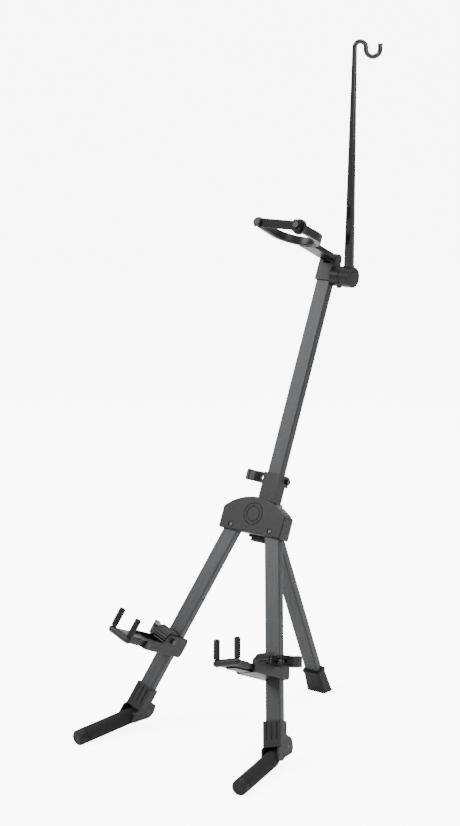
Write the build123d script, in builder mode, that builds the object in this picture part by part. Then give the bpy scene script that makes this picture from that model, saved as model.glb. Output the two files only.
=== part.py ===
"""Folding stand for a violin or viola, with a bow holder.

Two front legs hang from a hub in a plane that leans back, a rear leg props it, and a mast
slides in the hub.  The mast carries a tilting neck cradle and a rod with a hook for the bow.
Each front leg carries a sliding arm with a folding fork, and ends in a folding foot.
+X is to the right seen from the front, +Y points back and +Z up.  The origin is on the floor,
under the middle of the overall box.
"""
import os
from math import cos, hypot, radians, sin

from build123d import *

os.makedirs("parts", exist_ok=True)

# ---------------------------------------------------------------- driving dimensions (mm)
# attitude
lean = 24.0  # the leg plane and the mast lean back from the vertical
splay = 17.4  # each front leg opens outward from the mast direction
rear_angle = 23.8  # the rear leg from the vertical
foot_drop = 29.4  # the foot below the leg plane's normal
rod_lean = 0.4  # the bow rod, backward from the vertical
hub_y = 7.5  # puts the origin midway between the toes and the bow hook

# tubes
tube_width = 20.0
tube_depth = 10.0
tube_wall = 1.2
tube_corner = 1.5
leg_length = 243.0  # leg pivot to the tube's lower end
mast_length = 341.0
insert_length = 23.0

# fits
running = 0.05  # radial, a pin in its turning part
sliding = 0.15  # a tube in its guide
free_gap = 0.3  # between parts that pass each other

# hub
leg_pivot_half = 28.4
leg_above_pivot = 9.0
hub_side = 6.6  # shell outside the leg at its pivot
hub_bottom = -6.0
arch_foot = 20.0
hub_top = 37.5
hub_wall = 2.5
spine_half = 12.5
pocket_clearance = 2.5  # round the leg's swinging top corner
washer_thickness = 0.5
washer_radius = 7.0
cover_thickness = 4.3
cover_round = 1.2
seam = 0.25
emblem_height = 17.0
emblem_radius = 13.4
emblem_inner = 9.4
emblem_line = 0.9
emblem_depth = 0.5
rivet_radius = 2.0
rivet_head = 3.0
rivet_head_height = 1.2
rivet_seat = 3.5
rivet_seat_depth = 1.6
floor_thickness = 3.0
screw_radius = 1.5
screw_head = 2.8
screw_head_height = 1.8

# mast guide and clamp
mast_setback = 16.1  # mast front face behind the leg front faces
guide_wall = 2.35
guide_bottom = -9.0
guide_top = 71.0
mast_bottom = -10.0
mast_plug_foot = 3.0
lug_bottom = 57.5
lug_depth = 5.4
clamp_bolt_wall = 3.7
lug_slit = 1.6
slit_bottom = 42.0
clamp_bolt_height = 65.0
clamp_bolt_radius = 1.8
bolt_head_radius = 3.4
bolt_head_height = 3.2

# thumb levers, one on the mast clamp and one on each arm
lever_height = 13.0
lever_hub = 4.9
lever_standoff = 5.6  # lever pivot outside the face it presses on
lever_waist = 2.7
lever_waist_at = 12.5
lever_tip = 4.0
lever_reach = 22.0
lever_rise = 3.0
lever_slot = 4.6
lever_pin_radius = 1.2
eye_thickness = 4.0
eye_radius = 3.0
mast_lever_angle = 17.0  # forward of straight out
arm_lever_angle = -58.0  # behind straight out

# rear hinge
rear_pivot_up = 8.8
rear_pivot_back = 39.9
ear_clearance = 0.6
ear_thickness = 4.0
ear_radius = 8.0
ear_top = 36.5
rear_pin_radius = 2.5
rear_neck = 14.0  # pivot to the top of the rear tube
rear_plug = 16.0
boot_length = 31.0
boot_wall_top = 2.2
boot_wall_bottom = 4.2
boot_floor = 6.0
boot_lip = 0.9
boot_lip_height = 3.0

# front feet
socket_wall = 2.0
socket_grip = 23.0  # length of leg held in the socket
socket_collar = 24.0
groove_pitch = 7.0
groove_width = 1.3
groove_depth = 0.8
cheek_thickness = 2.4
foot_pivot_drop = 5.0  # below the leg tube's end
foot_pivot_setback = 5.0  # behind the leg tube
socket_back = 10.0  # behind the foot pivot
foot_pin_radius = 2.0
foot_offset = 5.2  # foot axis below its pivot
foot_knuckle_half = 9.3
foot_knuckle_radius = 6.0
foot_core_radius = 5.5
grip_radius = 9.3
grip_start = 21.0  # along the foot from its pivot
grip_length = 71.0
toe_length = 10.0
toe_round = 4.0

# arms
arm_pivot_down = 155.0  # clamp bolt below the leg pivot
arm_bolt_forward = 12.0
arm_wall = 2.7
arm_top = 148.0
arm_bottom = 173.0
arm_back = 17.0
cheek_front = 22.0
cheek_round = 6.0
bar_round = 3.0
bar_top = 160.0
bar_front = 56.0
web_thickness = 2.0
lip_reach = 88.0
lip_down = 171.0
lip_half = 6.5
lip_thickness = 1.4
spacer_radius = 10.8
spacer_rib = 0.6
spacer_ribs = 14
detent_holes = (96.0, 124.0, 152.0)  # adjusting holes below the leg pivot
detent_radius = 1.3

# forks
fork_pivot_down = 166.4
fork_pivot_forward = 50.0
fork_pin_radius = 1.8
fork_shoulder = 64.0
fork_half = 10.5
fork_height = 8.4
fork_knuckle_radius = 4.1
fork_bar_forward = 93.0
fork_bar_radius = 4.2
prong_half = 13.75
prong_top = 139.0
prong_core_radius = 2.2
prong_sleeve_radius = 3.65

# head of the mast
cap_grip = 18.0  # length of mast held in the head
cap_roof = 3.2  # head above the mast
cap_wall = 2.0
tilt_rise = 10.5  # tilt pin above the mast
tilt_radius = 6.5
tilt_pin_radius = 2.2
tilt_gap = 1.5  # lets the cradle nod without touching the head
tongue_half = 5.2
barrel_drop = 10.0  # bow holder's barrel below the mast's end
barrel_radius = 12.4
barrel_end = 24.0
stop_lug_width = 5.0
stop_lug_height = 2.4
axle_radius = 3.0
axle_head = 5.5

# bow holder
holder_end = 39.4
rod_side = 32.0  # rod axis from the middle plane
rod_seat_radius = 6.6
rod_base_width = 11.0
rod_base_depth = 9.0
rod_corner = 2.6
rod_top_radius = 2.8
rod_seat = 13.2  # above the barrel axis
rod_length = 258.0
spigot_radius = 3.6
spigot_length = 6.0
hook_turn = 28.0  # hook plane, from +X towards +Y
arch_radius = 6.6
trough_radius = 8.3
hook_step = 2.5
hook_tip = 7.0
holder_cover = 1.6
holder_gap = 0.6  # seam between the barrel and the turning holder

# neck cradle
cradle_width = 23.0
cradle_arm_rise = 8.0  # arm's underside above the mast
cradle_arm_thickness = 6.0
cradle_rise = 8.6  # cradle's underside above the mast
cradle_height = 10.0
cradle_forward = 64.0
cradle_outer = 33.0
cradle_inner = 27.6
pad_thickness = 2.0
pad_margin = 0.8
horn_reach = 94.0
horn_toe_in = 2.2
anchor_radius = 9.2
anchor_thickness = 4.0
strap_thickness = 2.4
strap_height = 10.6
strap_gap = 0.4
strap_end = 6.6
peg_neck = 2.6
peg_head = 5.2
peg_head_length = 3.4
peg_slot = 3.3
buckle_width = 11.0
buckle_thickness = 2.2

# ---------------------------------------------------------------- derived places
sin_lean, cos_lean = sin(radians(lean)), cos(radians(lean))
hub_normal = (0, -cos_lean, sin_lean)


hub_half = leg_pivot_half + tube_width / 2 + hub_side
pocket_top = hypot(tube_width / 2, leg_above_pivot) + pocket_clearance
ear_gap_half = tube_width / 2 + ear_clearance
foot_pivot_down = leg_length + foot_pivot_drop
foot_pivot_back = tube_depth + foot_pivot_setback
socket_top = leg_length - socket_grip


def hub_plane_at(height):
    """The leg plane with its origin between the leg pivots: x right, y up the mast, z forward."""
    return Plane(origin=(0, hub_y, height), x_dir=(1, 0, 0), z_dir=hub_normal)


def leg_plane_of(hub):
    """The right leg's frame: x across the leg, y up the leg, z forward."""
    return Plane(hub.location * Location((leg_pivot_half, 0, 0), (0, 0, splay)))


def foot_plane_of(leg):
    """The right foot's frame at its pivot: x along the pin, z along the foot to the toe."""
    pivot = leg.location * Location((0, -foot_pivot_down, -foot_pivot_back), (foot_drop, 0, 0))
    return Plane(pivot)


foot_end = grip_start + grip_length + toe_length
level_foot = foot_plane_of(leg_plane_of(hub_plane_at(0)))
toe_centre = level_foot.from_local_coords((0, -foot_offset, foot_end - toe_round))
foot_dip = radians(level_foot.z_dir.get_angle(Vector(0, 0, 1)) - 90)
toe_drop = (grip_radius - toe_round) * cos(foot_dip) + toe_round
hub_height = toe_drop - toe_centre.Z  # stands the toes on the floor

hub_frame = hub_plane_at(hub_height)
rear_pivot = hub_frame.from_local_coords((0, rear_pivot_up, -rear_pivot_back))
rear_frame = Plane(
    origin=rear_pivot,
    x_dir=(1, 0, 0),
    z_dir=(0, sin(radians(rear_angle)), -cos(radians(rear_angle))),
)
rear_length = rear_pivot.Z / cos(radians(rear_angle))

mast_top = mast_bottom + mast_length
cap_bottom = mast_top - cap_grip
cap_top = mast_top + cap_roof
tilt_up = mast_top + tilt_rise
barrel_up = mast_top - barrel_drop
cradle_arm_bottom = mast_top + cradle_arm_rise
cradle_bottom = mast_top + cradle_rise
cover_back = washer_thickness + 2 * running
cover_front = cover_back + cover_thickness
rim_front = cover_back - seam
floor_front = -(tube_depth + washer_thickness + 2 * running)
floor_back = floor_front - floor_thickness
mast_middle = mast_setback + tube_depth / 2
guide_half = tube_width / 2 + sliding + 1.85
guide_front = -floor_back
guide_back = mast_setback + tube_depth + sliding + guide_wall
clamp_bolt_back = mast_setback + tube_depth + clamp_bolt_wall
arm_half = tube_width / 2 + free_gap + arm_wall
arm_inner = tube_width / 2 + free_gap
horn_middle = (cradle_outer + cradle_inner) / 2 - horn_toe_in


def side_plane(frame, x=0.0):
    """Plane across a frame's x axis: sketch x points forward and sketch y up."""
    return Plane(
        origin=frame.from_local_coords((x, 0, 0)), x_dir=frame.z_dir, z_dir=-frame.x_dir
    )


def cross_plane(frame, y=0.0):
    """Plane across a frame's y axis: sketch x points right and sketch y backward."""
    return Plane(
        origin=frame.from_local_coords((0, y, 0)), x_dir=frame.x_dir, z_dir=frame.y_dir
    )


def hub_outline():
    """Outline of both hub shells: a straight foot and sides under a shallow arch."""
    with BuildSketch() as outline:
        with BuildLine():
            Polyline(
                (-hub_half, arch_foot),
                (-hub_half, hub_bottom),
                (hub_half, hub_bottom),
                (hub_half, arch_foot),
            )
            ThreePointArc((hub_half, arch_foot), (0, hub_top), (-hub_half, arch_foot))
        make_face()
        fillet(outline.vertices().group_by(Axis.Y)[0], 1.5)
        fillet(outline.vertices().group_by(Axis.Y)[-1], 4.0)
    return outline.sketch


def tube_outline(grow=0.0):
    """Outside of the rectangular tube, centred, grown by a clearance."""
    with BuildSketch() as outline:
        RectangleRounded(tube_width + 2 * grow, tube_depth + 2 * grow, tube_corner + grow)
    return outline.sketch


def tube_bore():
    """Inside of the rectangular tube, centred."""
    with BuildSketch() as outline:
        RectangleRounded(
            tube_width - 2 * tube_wall, tube_depth - 2 * tube_wall, tube_corner - tube_wall
        )
    return outline.sketch


def lever_outline(kick):
    """A thumb lever seen along its pin: round root, waist and a rounded tip that kicks outward."""
    with BuildSketch() as outline:
        with BuildSketch(mode=Mode.PRIVATE) as root:
            Circle(lever_hub)
            with Locations((lever_waist_at, 0)):
                Circle(lever_waist)
            make_hull()
        with BuildSketch(mode=Mode.PRIVATE) as blade:
            with Locations((lever_waist_at, 0)):
                Circle(lever_waist)
            with Locations((lever_reach, kick * lever_rise)):
                Circle(lever_tip)
            make_hull()
        add(root.sketch)
        add(blade.sketch)
    return outline.sketch


# ---------------------------------------------------------------- hub
leg_pivots = [(-leg_pivot_half, 0), (leg_pivot_half, 0)]
shell_screw_places = [(-34.0, 22.0), (34.0, 22.0)]
hub_forward = Axis(hub_frame.origin, hub_frame.z_dir)

with BuildPart() as hub_front_shell:
    with BuildSketch(hub_frame.offset(cover_back)):
        add(hub_outline())
    extrude(amount=cover_thickness)
    fillet(hub_front_shell.faces().sort_by(hub_forward)[-1].edges(), cover_round)
    with BuildSketch(hub_frame.offset(cover_front)):
        with Locations((0, emblem_height)):
            Circle(emblem_radius)
            Circle(emblem_radius - emblem_line, mode=Mode.SUBTRACT)
            Circle(emblem_inner)
            Circle(emblem_inner - emblem_line, mode=Mode.SUBTRACT)
    extrude(amount=-emblem_depth, mode=Mode.SUBTRACT)
    with BuildSketch(hub_frame.offset(cover_front)):
        with Locations(*leg_pivots):
            Circle(rivet_seat)
    extrude(amount=-rivet_seat_depth, mode=Mode.SUBTRACT)
    with BuildSketch(hub_frame.offset(cover_front)):
        with Locations(*leg_pivots):
            Circle(rivet_radius)
    extrude(amount=-cover_thickness, mode=Mode.SUBTRACT)
    with BuildSketch(hub_frame.offset(cover_back)):
        with Locations(*shell_screw_places):
            Circle(screw_radius)
    extrude(amount=cover_thickness - 1.5, mode=Mode.SUBTRACT)
hub_front_shell.part.label = "hub_front_shell"
export_step(hub_front_shell.part, "parts/hub_front_shell.step")

with BuildPart() as hub_rear_shell:
    with BuildSketch(hub_frame.offset(rim_front)):
        add(hub_outline())
    extrude(amount=floor_back - rim_front)
    # pockets for the leg tops, open at the foot
    pocket_width = hub_half - hub_wall - spine_half
    with BuildSketch(hub_frame.offset(rim_front)):
        with Locations(
            (-(spine_half + pocket_width / 2), pocket_top), (spine_half + pocket_width / 2, pocket_top)
        ):
            Rectangle(
                pocket_width, pocket_top - hub_bottom + 1, align=(Align.CENTER, Align.MAX)
            )
    extrude(amount=floor_front - rim_front, mode=Mode.SUBTRACT)
    # the spine reaches the cover
    with BuildSketch(hub_frame.offset(rim_front)):
        with Locations((0, hub_bottom)):
            Rectangle(2 * spine_half, pocket_top - hub_bottom, align=(Align.CENTER, Align.MIN))
    extrude(amount=seam)
    # mast guide
    with BuildSketch(cross_plane(hub_frame, guide_bottom)):
        with Locations((0, (guide_front + guide_back) / 2)):
            Rectangle(2 * guide_half, guide_back - guide_front)
    extrude(amount=guide_top - guide_bottom)
    # ears for the rear leg, running up the guide as shoulders
    for ear_side in (-ear_gap_half, ear_gap_half + ear_thickness):
        with BuildSketch(side_plane(hub_frame, ear_side)) as ear:
            with BuildLine():
                Polyline(
                    (-guide_front, hub_bottom + 1),
                    (-guide_front, ear_top),
                    (-guide_back, ear_top),
                    (-guide_back - 3, ear_top - 6),
                    (-rear_pivot_back - ear_radius, rear_pivot_up),
                    (-rear_pivot_back, rear_pivot_up - ear_radius),
                    (-guide_front, hub_bottom + 1),
                )
            make_face()
            with Locations((-rear_pivot_back, rear_pivot_up)):
                Circle(ear_radius)
        extrude(amount=ear_thickness)
    # clamp lugs behind the guide
    with BuildSketch(side_plane(hub_frame, guide_half)):
        with Locations((-guide_back - lug_depth / 2, (lug_bottom + guide_top) / 2)):
            RectangleRounded(lug_depth, guide_top - lug_bottom, 2.5)
        with Locations((-guide_back, (lug_bottom + guide_top) / 2)):
            Rectangle(lug_depth / 2, guide_top - lug_bottom)
    extrude(amount=2 * guide_half)
    # passage for the mast, and the slit that lets the clamp close
    with BuildSketch(cross_plane(hub_frame, guide_bottom)):
        with Locations((0, mast_middle)):
            add(tube_outline(sliding))
    extrude(amount=guide_top - guide_bottom, mode=Mode.SUBTRACT)
    with BuildSketch(hub_frame.offset(-mast_middle)):
        with Locations((0, slit_bottom)):
            Rectangle(lug_slit, guide_top - slit_bottom, align=(Align.CENTER, Align.MIN))
    extrude(amount=-(lug_depth + guide_back - mast_middle), mode=Mode.SUBTRACT)
    # bolt, rear pin, rivet and screw holes
    with BuildSketch(side_plane(hub_frame, hub_half)):
        with Locations((-clamp_bolt_back, clamp_bolt_height)):
            Circle(clamp_bolt_radius + sliding)
        with Locations((-rear_pivot_back, rear_pivot_up)):
            Circle(rear_pin_radius)
    extrude(amount=2 * hub_half, mode=Mode.SUBTRACT)
    with BuildSketch(hub_frame.offset(floor_back)):
        with Locations(*leg_pivots, *shell_screw_places):
            Circle(rivet_radius)
    extrude(amount=floor_front - floor_back, mode=Mode.SUBTRACT)
    with BuildSketch(hub_frame.offset(floor_back)):
        with Locations(*leg_pivots, *shell_screw_places):
            Circle(rivet_seat)
    extrude(amount=rivet_seat_depth, mode=Mode.SUBTRACT)
    with BuildSketch(hub_frame.offset(cover_back)):
        with Locations(*shell_screw_places):
            Circle(screw_radius)
    extrude(amount=floor_back - cover_back, mode=Mode.SUBTRACT)
hub_rear_shell.part.label = "hub_rear_shell"
export_step(hub_rear_shell.part, "parts/hub_rear_shell.step")

# rivets carry the legs, with a thin washer on each side of each leg
with BuildPart() as leg_rivets:
    with BuildSketch(hub_frame.offset(cover_front - rivet_seat_depth)):
        with Locations(*leg_pivots):
            Circle(rivet_radius)
    extrude(amount=floor_back - cover_front + 2 * rivet_seat_depth)
    with BuildSketch(hub_frame.offset(cover_front - rivet_seat_depth)):
        with Locations(*leg_pivots):
            Circle(rivet_head)
    extrude(amount=rivet_head_height, taper=25)
    with BuildSketch(hub_frame.offset(floor_back + rivet_seat_depth)):
        with Locations(*leg_pivots):
            Circle(rivet_head)
    extrude(amount=-rivet_head_height, taper=25)
leg_rivets.part.label = "leg_rivets"
export_step(leg_rivets.part, "parts/leg_rivets.step")

with BuildPart() as leg_washers:
    for face in (cover_back - washer_thickness, floor_front):
        with BuildSketch(hub_frame.offset(face)):
            with Locations(*leg_pivots):
                Circle(washer_radius)
                Circle(rivet_radius, mode=Mode.SUBTRACT)
        extrude(amount=washer_thickness)
leg_washers.part.label = "leg_washers"
export_step(leg_washers.part, "parts/leg_washers.step")

with BuildPart() as shell_screws:
    with BuildSketch(hub_frame.offset(floor_back + rivet_seat_depth)):
        with Locations(*shell_screw_places):
            Circle(screw_radius)
    extrude(amount=cover_back + cover_thickness - 1.5 - floor_back - rivet_seat_depth)
    with BuildSketch(hub_frame.offset(floor_back + rivet_seat_depth)):
        with Locations(*shell_screw_places):
            Circle(screw_head)
    extrude(amount=-screw_head_height)
    with BuildSketch(hub_frame.offset(floor_back + rivet_seat_depth - screw_head_height)):
        with Locations(*shell_screw_places):
            RegularPolygon(1.3, 6)
    extrude(amount=screw_head_height - 0.5, mode=Mode.SUBTRACT)
shell_screws.part.label = "shell_screws"
export_step(shell_screws.part, "parts/shell_screws.step")

with BuildPart() as rear_leg_pin:
    pin_half = ear_gap_half + ear_thickness
    with BuildSketch(side_plane(hub_frame, pin_half)):
        with Locations((-rear_pivot_back, rear_pivot_up)):
            Circle(rear_pin_radius)
    extrude(amount=2 * pin_half)
    for head_side, direction in ((pin_half, -1), (-pin_half, 1)):
        with BuildSketch(side_plane(hub_frame, head_side)):
            with Locations((-rear_pivot_back, rear_pivot_up)):
                Circle(rear_pin_radius + 1.6)
        extrude(amount=direction * 1.2)
rear_leg_pin.part.label = "rear_leg_pin"
export_step(rear_leg_pin.part, "parts/rear_leg_pin.step")


# ---------------------------------------------------------------- clamps
# Each clamp is an eye bolt with its round nut, a thumb lever with a round root, and a pin.
def clamp_plane(frame, side, pivot, forward, height, swing):
    """A lever's frame at its pin: x along the lever, z up the tube it clamps."""
    turn = 90 - side * 90 - side * swing
    pin = cross_plane(frame, height).location
    return Plane(pin * Location((side * pivot, -forward, 0), (0, 0, turn)))


def leg_frame_of(side):
    """The leg frame on one side, with x to the right on both."""
    turned = Location((side * leg_pivot_half, 0, 0), (0, 0, side * splay))
    return Plane(hub_frame.location * turned)


sides = {"left": -1, "right": 1}
# name: frame, side, half width gripped, forward, height, lever swing
clamps = {
    "mast": (hub_frame, -1, guide_half, -clamp_bolt_back, clamp_bolt_height, mast_lever_angle),
}
for side_name, side in sides.items():
    clamps[f"{side_name}_arm"] = (
        leg_frame_of(side), side, arm_half, arm_bolt_forward, -arm_pivot_down, arm_lever_angle
    )

for clamp_name, (frame, side, grip_half, forward, height, swing) in clamps.items():
    lever_frame = clamp_plane(frame, side, grip_half + lever_standoff, forward, height, swing)
    kick = 1 if clamp_name == "mast" else -side

    with BuildPart() as lever:
        with BuildSketch(lever_frame.offset(-lever_height / 2)):
            add(lever_outline(kick))
        extrude(amount=lever_height)
        outward = Axis(lever_frame.origin, lever_frame.x_dir)
        fillet(lever.edges().filter_by(GeomType.CIRCLE).sort_by(outward)[-2:], 1.2)
        with BuildSketch(lever_frame.offset(-lever_slot / 2)):
            Rectangle(2 * (lever_hub + free_gap + 1), 4 * lever_hub)
        extrude(amount=lever_slot, mode=Mode.SUBTRACT)
        with BuildSketch(lever_frame.offset(-lever_height / 2)):
            Circle(lever_pin_radius + running)
        extrude(amount=lever_height, mode=Mode.SUBTRACT)
    lever.part.label = f"{clamp_name}_lever"
    export_step(lever.part, f"parts/{clamp_name}_lever.step")

    with BuildPart() as lever_pin:
        with BuildSketch(lever_frame.offset(-lever_height / 2 + 0.5)):
            Circle(lever_pin_radius)
        extrude(amount=lever_height - 1)
    lever_pin.part.label = f"{clamp_name}_lever_pin"
    export_step(lever_pin.part, f"parts/{clamp_name}_lever_pin.step")

    with BuildPart() as eye_bolt:
        with BuildSketch(lever_frame.offset(-eye_thickness / 2)):
            Circle(eye_radius)
        extrude(amount=eye_thickness)
        with BuildSketch(side_plane(frame, side * (grip_half + lever_standoff))):
            with Locations((forward, height)):
                Circle(clamp_bolt_radius)
        extrude(amount=side * (2 * grip_half + lever_standoff + bolt_head_height - 0.8))
        with BuildSketch(lever_frame.offset(-eye_thickness / 2)):
            Circle(lever_pin_radius)
        extrude(amount=eye_thickness, mode=Mode.SUBTRACT)
    eye_bolt.part.label = f"{clamp_name}_clamp_bolt"
    export_step(eye_bolt.part, f"parts/{clamp_name}_clamp_bolt.step")

    with BuildPart() as round_nut:
        with BuildSketch(side_plane(frame, -side * grip_half)):
            with Locations((forward, height)):
                Circle(bolt_head_radius)
        extrude(amount=side * bolt_head_height)
        outward = Axis(frame.origin, frame.x_dir * -side)
        fillet(round_nut.edges().filter_by(GeomType.CIRCLE).sort_by(outward)[-1], 0.8)
        with BuildSketch(side_plane(frame, -side * grip_half)):
            with Locations((forward, height)):
                Circle(clamp_bolt_radius)
        extrude(amount=side * (bolt_head_height - 0.8), mode=Mode.SUBTRACT)
    round_nut.part.label = f"{clamp_name}_clamp_nut"
    export_step(round_nut.part, f"parts/{clamp_name}_clamp_nut.step")

# ---------------------------------------------------------------- mast
with BuildPart() as mast_tube:
    with BuildSketch(cross_plane(hub_frame, mast_bottom)):
        with Locations((0, mast_middle)):
            add(tube_outline())
            add(tube_bore(), mode=Mode.SUBTRACT)
    extrude(amount=mast_length)
mast_tube.part.label = "mast_tube"
export_step(mast_tube.part, "parts/mast_tube.step")

with BuildPart() as mast_end_plug:
    with BuildSketch(cross_plane(hub_frame, mast_bottom)):
        with Locations((0, mast_middle)):
            add(tube_outline())
    extrude(amount=-mast_plug_foot)
    with BuildSketch(cross_plane(hub_frame, mast_bottom)):
        with Locations((0, mast_middle)):
            add(tube_bore())
    extrude(amount=insert_length)
mast_end_plug.part.label = "mast_end_plug"
export_step(mast_end_plug.part, "parts/mast_end_plug.step")

cap_half_width = tube_width / 2 + cap_wall
cap_half_depth = tube_depth / 2 + cap_wall + 0.4
with BuildPart() as mast_head:
    with BuildSketch(cross_plane(hub_frame, cap_bottom)):
        with Locations((0, mast_middle)):
            RectangleRounded(2 * cap_half_width, 2 * cap_half_depth, 2.0)
    extrude(amount=cap_top - cap_bottom)
    # ears for the neck cradle
    with BuildSketch(side_plane(hub_frame, tilt_radius + 5)):
        with Locations((-mast_middle, tilt_up)):
            Circle(tilt_radius)
        with Locations((-mast_middle, (cap_top + tilt_up) / 2)):
            Rectangle(2 * tilt_radius, tilt_up - cap_top)
    extrude(amount=2 * (tilt_radius + 5))
    with BuildSketch(side_plane(hub_frame, tongue_half + free_gap)):
        with Locations((-mast_middle, tilt_up)):
            Rectangle(4 * tilt_radius, 2 * (tilt_up - cap_top))
    extrude(amount=2 * (tongue_half + free_gap), mode=Mode.SUBTRACT)
    # barrel for the bow holder, and its axle
    with BuildSketch(side_plane(hub_frame, barrel_end)):
        with Locations((-mast_middle, barrel_up)):
            Circle(barrel_radius)
    extrude(amount=barrel_end - cap_half_width + 1)
    with BuildSketch(side_plane(hub_frame, barrel_end)):
        with BuildLine():
            Polyline(
                (-mast_middle - 3, barrel_up - barrel_radius + 1),
                (-mast_middle, barrel_up - barrel_radius - stop_lug_height),
                (-mast_middle + 5, barrel_up - barrel_radius + 2),
                (-mast_middle - 3, barrel_up - barrel_radius + 1),
            )
        make_face()
    extrude(amount=stop_lug_width)
    with BuildSketch(cross_plane(hub_frame, cap_bottom)):
        with Locations((0, mast_middle)):
            add(tube_outline())
    extrude(amount=mast_top - cap_bottom, mode=Mode.SUBTRACT)
    with BuildSketch(side_plane(hub_frame, barrel_end)):
        with Locations((-mast_middle, tilt_up)):
            Circle(tilt_pin_radius)
    extrude(amount=2 * barrel_end, mode=Mode.SUBTRACT)
    with BuildSketch(side_plane(hub_frame, barrel_end)):
        with Locations((-mast_middle, barrel_up)):
            Circle(axle_radius)
    extrude(amount=barrel_end - cap_half_width, mode=Mode.SUBTRACT)
mast_head.part.label = "mast_head"
export_step(mast_head.part, "parts/mast_head.step")

with BuildPart() as tilt_pin:
    with BuildSketch(side_plane(hub_frame, tilt_radius + 5)):
        with Locations((-mast_middle, tilt_up)):
            Circle(tilt_pin_radius)
    extrude(amount=2 * (tilt_radius + 5))
tilt_pin.part.label = "tilt_pin"
export_step(tilt_pin.part, "parts/tilt_pin.step")

# ---------------------------------------------------------------- bow holder
holder_start = barrel_end + holder_gap
barrel_place = (-mast_middle, barrel_up)
barrel_centre = hub_frame.from_local_coords((0, barrel_up, -mast_middle))
rod_back = sin(radians(rod_lean))
rod_side_step = rod_base_width / 2 - rod_top_radius  # keeps the outer side straight
rod_frame = Plane(
    origin=(rod_side, barrel_centre.Y, barrel_centre.Z),
    x_dir=(1, 0, 0),
    z_dir=(0, rod_back, cos(radians(rod_lean))),
)

with BuildPart() as bow_axle:
    with BuildSketch(side_plane(hub_frame, holder_end - holder_cover - 2)):
        with Locations(barrel_place):
            Circle(axle_radius)
    extrude(amount=holder_end - holder_cover - 2 - cap_half_width)
    with BuildSketch(side_plane(hub_frame, holder_end - holder_cover - 2)):
        with Locations(barrel_place):
            Circle(axle_head)
    extrude(amount=-1.5)
bow_axle.part.label = "bow_axle"
export_step(bow_axle.part, "parts/bow_axle.step")

with BuildPart() as bow_holder:
    with BuildSketch(side_plane(hub_frame, holder_start)):
        with Locations(barrel_place):
            Circle(barrel_radius)
    extrude(amount=-(holder_end - holder_start))
    outer_face = bow_holder.faces().sort_by(Axis.X)[-1]
    fillet(outer_face.edges(), 1.0)
    with BuildSketch(rod_frame.offset(barrel_radius - 4)):
        Circle(rod_seat_radius)
    extrude(amount=rod_seat - barrel_radius + 4)
    with BuildSketch(side_plane(hub_frame, holder_start)):
        with Locations(barrel_place):
            Circle(axle_radius + running)
    extrude(amount=-(holder_end - holder_start), mode=Mode.SUBTRACT)
    with BuildSketch(side_plane(hub_frame, holder_end)):
        with Locations(barrel_place):
            Circle(axle_head + 1)
    extrude(amount=holder_cover + 2, mode=Mode.SUBTRACT)
    with BuildSketch(side_plane(hub_frame, holder_end)):
        with Locations(barrel_place):
            Circle(barrel_radius - 3)
    extrude(amount=holder_cover, mode=Mode.SUBTRACT)
    with BuildSketch(rod_frame.offset(rod_seat)):
        Circle(spigot_radius)
    extrude(amount=-(rod_seat - axle_head - 1.5), mode=Mode.SUBTRACT)
bow_holder.part.label = "bow_holder"
export_step(bow_holder.part, "parts/bow_holder.step")

with BuildPart() as bow_holder_cover:
    with BuildSketch(side_plane(hub_frame, holder_end)):
        with Locations(barrel_place):
            Circle(barrel_radius - 3)
    extrude(amount=holder_cover)
bow_holder_cover.part.label = "bow_holder_cover"
export_step(bow_holder_cover.part, "parts/bow_holder_cover.step")

with BuildPart() as bow_rod:
    with BuildSketch(rod_frame.offset(rod_seat - spigot_length)) as spigot:
        Circle(spigot_radius)
    extrude(amount=spigot_length)
    with BuildSketch(rod_frame.offset(rod_seat)):
        RectangleRounded(rod_base_width, rod_base_depth, rod_corner)
    with BuildSketch(rod_frame.offset(rod_seat + rod_length)):
        with Locations((rod_side_step, 0)):
            RectangleRounded(2 * rod_top_radius, 2 * rod_top_radius, rod_top_radius - 0.05)
    loft()
    rod_tip = rod_frame.location * Location(
        (rod_side_step, 0, rod_seat + rod_length), (90, hook_turn, 0)
    )
    with BuildLine(Plane(rod_tip)) as hook_line:
        arch_end = (2 * arch_radius, -hook_step)
        trough_end = (2 * (arch_radius + trough_radius), -hook_step)
        ThreePointArc((0, 0), (arch_radius, arch_radius), (2 * arch_radius, 0))
        Line((2 * arch_radius, 0), arch_end)
        ThreePointArc(
            arch_end,
            (2 * arch_radius + trough_radius, -hook_step - trough_radius),
            trough_end,
        )
        Line(trough_end, (2 * (arch_radius + trough_radius), hook_tip - hook_step))
    with BuildSketch(Plane(origin=hook_line.line @ 0, z_dir=hook_line.line % 0)):
        Circle(rod_top_radius)
    sweep(path=hook_line.line)
bow_rod.part.label = "bow_rod"
export_step(bow_rod.part, "parts/bow_rod.step")

# ---------------------------------------------------------------- neck cradle
def between_horns(half, reach):
    """The area in front of the cradle's arc, from half out on each side, toeing in forward."""
    with BuildSketch() as area:
        with BuildLine():
            Polyline(
                (-half, -cradle_forward),
                (-half + horn_toe_in, -reach),
                (half - horn_toe_in, -reach),
                (half, -cradle_forward),
                (-half, -cradle_forward),
            )
        make_face()
    return area.sketch


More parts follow.
